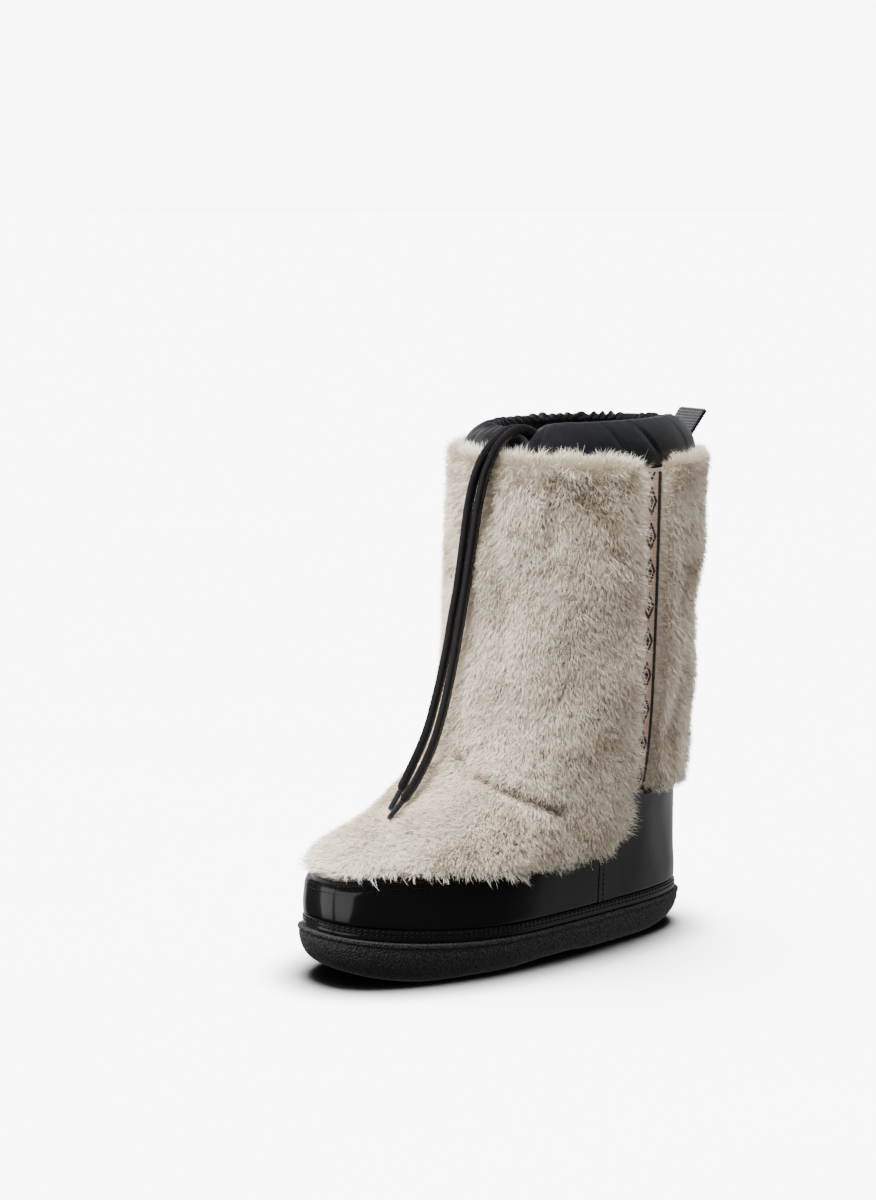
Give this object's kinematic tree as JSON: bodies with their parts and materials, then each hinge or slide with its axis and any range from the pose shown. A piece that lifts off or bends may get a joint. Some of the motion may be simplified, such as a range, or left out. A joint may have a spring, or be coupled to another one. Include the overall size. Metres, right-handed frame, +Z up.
{
  "type": "fur snow boot",
  "caption": "Left-foot snow boot: cup sole, patent toe guard and heel counter, hollow deep-pile fur upper with side tapes, padded drawcord collar and back pull loop.",
  "frame": {"origin": "on the floor, under the middle of the boot's box without the drawcord", "axes": "+Z up, toe towards -Y, heel towards +Y, outer side of the left foot towards +X"},
  "size_m": [0.1542, 0.311, 0.3434],
  "materials": {
    "sole_rubber": "stippled matt black",
    "welt_patent": "gloss black strip, stitched",
    "insole_felt": "dark felt",
    "fur": "deep greige pile",
    "patent": "high-gloss black patent",
    "tape_weave": "woven tape with a black edge",
    "collar_nylon": "padded black nylon, slight sheen",
    "loop_webbing": "ribbed black webbing",
    "cord_braid": "black braided cord",
    "aglet_plastic": "black plastic sleeve"
  },
  "bodies": {
    "root": {"outsole": "sole_rubber", "welt": "welt_patent", "insole": "insole_felt", "upper": "fur", "toe_guard": "patent", "heel_counter": "patent", "tape_outer": "tape_weave", "tape_inner": "tape_weave", "collar": "collar_nylon", "pull_loop": "loop_webbing", "drawcord_inner": "cord_braid", "drawcord_outer": "cord_braid", "aglet_inner": "aglet_plastic", "aglet_outer": "aglet_plastic"}
  },
  "joints": []
}
